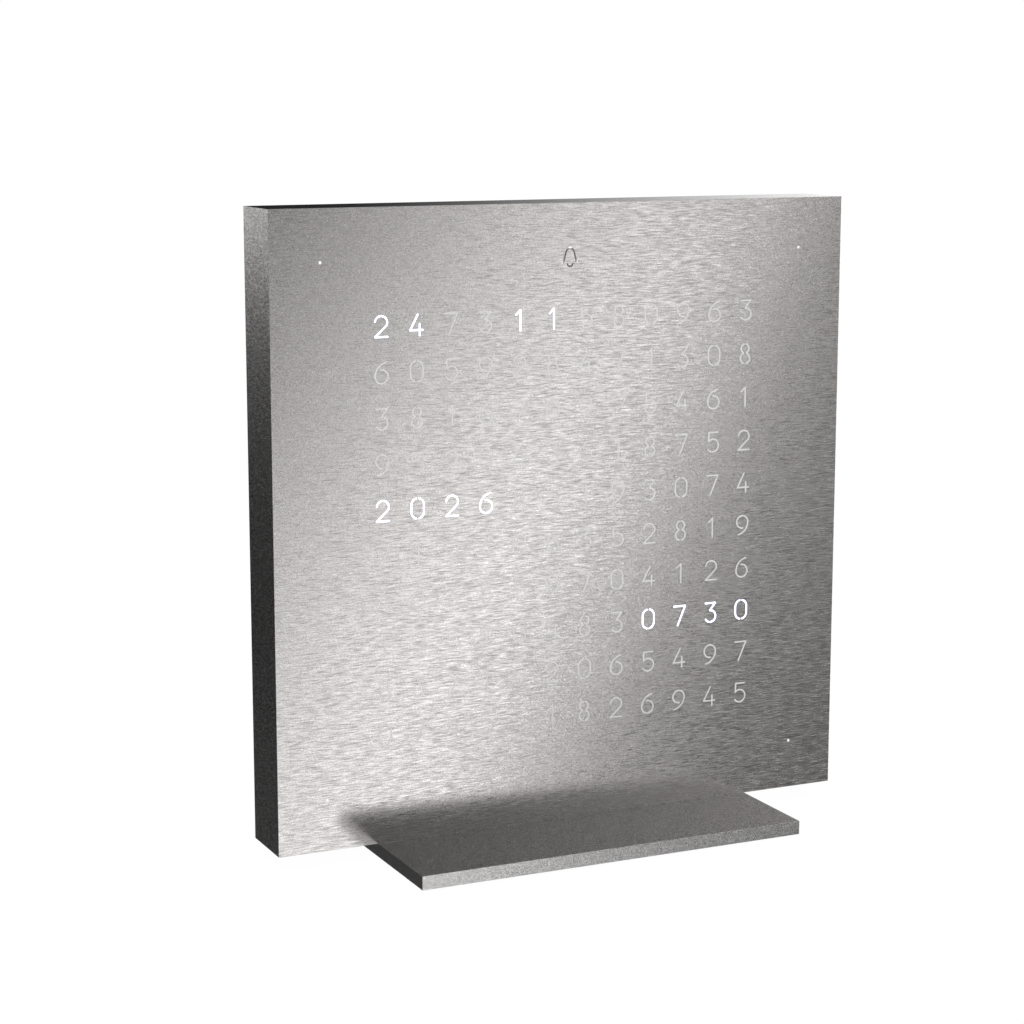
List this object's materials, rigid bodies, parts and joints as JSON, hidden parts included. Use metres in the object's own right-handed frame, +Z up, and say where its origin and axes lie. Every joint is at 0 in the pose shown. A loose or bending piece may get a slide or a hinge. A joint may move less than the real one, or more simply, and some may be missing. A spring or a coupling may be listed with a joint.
{
  "type": "desk alarm clock with a lit digit matrix",
  "caption": "Square steel desk alarm clock: stencil-cut digits lit from behind, flat steel foot plate, sprung buttons and a power socket in the rear cover.",
  "frame": {"origin": "middle of the footprint, on the surface the clock stands on", "axes": "+X to the viewer's right, the lit face looks along -Y, +Z up"},
  "size_m": [0.135, 0.063, 0.1384],
  "materials": {
    "brushed_steel_cover": "satin",
    "brushed_steel_foot": "satin",
    "resin_unlit": "satin",
    "resin_lit": "satin",
    "resin_smoked": "gloss",
    "bright_steel": "polished",
    "diffuser_film": "matte",
    "black_plastic": "matte",
    "board_laminate": "satin",
    "led_package": "gloss",
    "chip_black": "satin",
    "tinned_metal": "satin",
    "capacitor_can": "satin",
    "spring_bronze": "satin",
    "brass_turned": "satin",
    "rear_plastic": "matte",
    "screw_steel": "satin",
    "aluminium_block": "satin",
    "pad_rubber": "matte",
    "button_plastic": "satin",
    "plunger_plastic": "satin"
  },
  "bodies": {
    "housing": {"front_cover": "brushed_steel_cover", "digit_fills_unlit": "resin_unlit", "digit_fills_lit": "resin_lit", "corner_dot_fills": "resin_lit", "bell_fill": "resin_smoked", "cover_studs": "bright_steel", "diffuser_sheet": "diffuser_film", "light_grid": "black_plastic", "main_board": "board_laminate", "matrix_leds": "led_package", "corner_leds": "led_package", "alarm_led": "led_package", "light_sensor": "chip_black", "microcontroller": "chip_black", "led_drivers": "chip_black", "chip_leads": "tinned_metal", "clock_crystal": "tinned_metal", "voltage_regulator": "chip_black", "regulator_tab": "tinned_metal", "capacitors": "capacitor_can", "coin_cell": "tinned_metal", "coin_cell_holder": "black_plastic", "coin_cell_clip": "bright_steel", "coin_cell_pad": "tinned_metal", "alarm_buzzer": "chip_black", "touch_spring": "spring_bronze", "power_socket_shell": "tinned_metal", "power_socket_tongue": "chip_black", "power_socket_tabs": "tinned_metal", "switch_bodies": "chip_black", "hex_spacers": "brass_turned", "rear_cover": "rear_plastic", "rear_screws": "screw_steel", "foot_plate": "brushed_steel_foot", "foot_block": "aluminium_block", "foot_screws": "screw_steel", "foot_pads": "pad_rubber"},
    "button_alarm": {"button_alarm": "button_plastic", "switch_plunger_alarm": "plunger_plastic"},
    "button_time": {"button_time": "button_plastic", "switch_plunger_time": "plunger_plastic"},
    "button_plus": {"button_plus": "button_plastic", "switch_plunger_plus": "plunger_plastic"},
    "button_minus": {"button_minus": "button_plastic", "switch_plunger_minus": "plunger_plastic"}
  },
  "joints": [
    {"name": "press_alarm", "type": "slide", "parent": "housing", "child": "button_alarm", "axis": [0, -1, 0], "range_m": [0, 0.0006], "stiffness_N_per_m": 1500},
    {"name": "press_time", "type": "slide", "parent": "housing", "child": "button_time", "axis": [0, -1, 0], "range_m": [0, 0.0006], "stiffness_N_per_m": 1500},
    {"name": "press_plus", "type": "slide", "parent": "housing", "child": "button_plus", "axis": [0, -1, 0], "range_m": [0, 0.0006], "stiffness_N_per_m": 1500},
    {"name": "press_minus", "type": "slide", "parent": "housing", "child": "button_minus", "axis": [0, -1, 0], "range_m": [0, 0.0006], "stiffness_N_per_m": 1500}
  ]
}
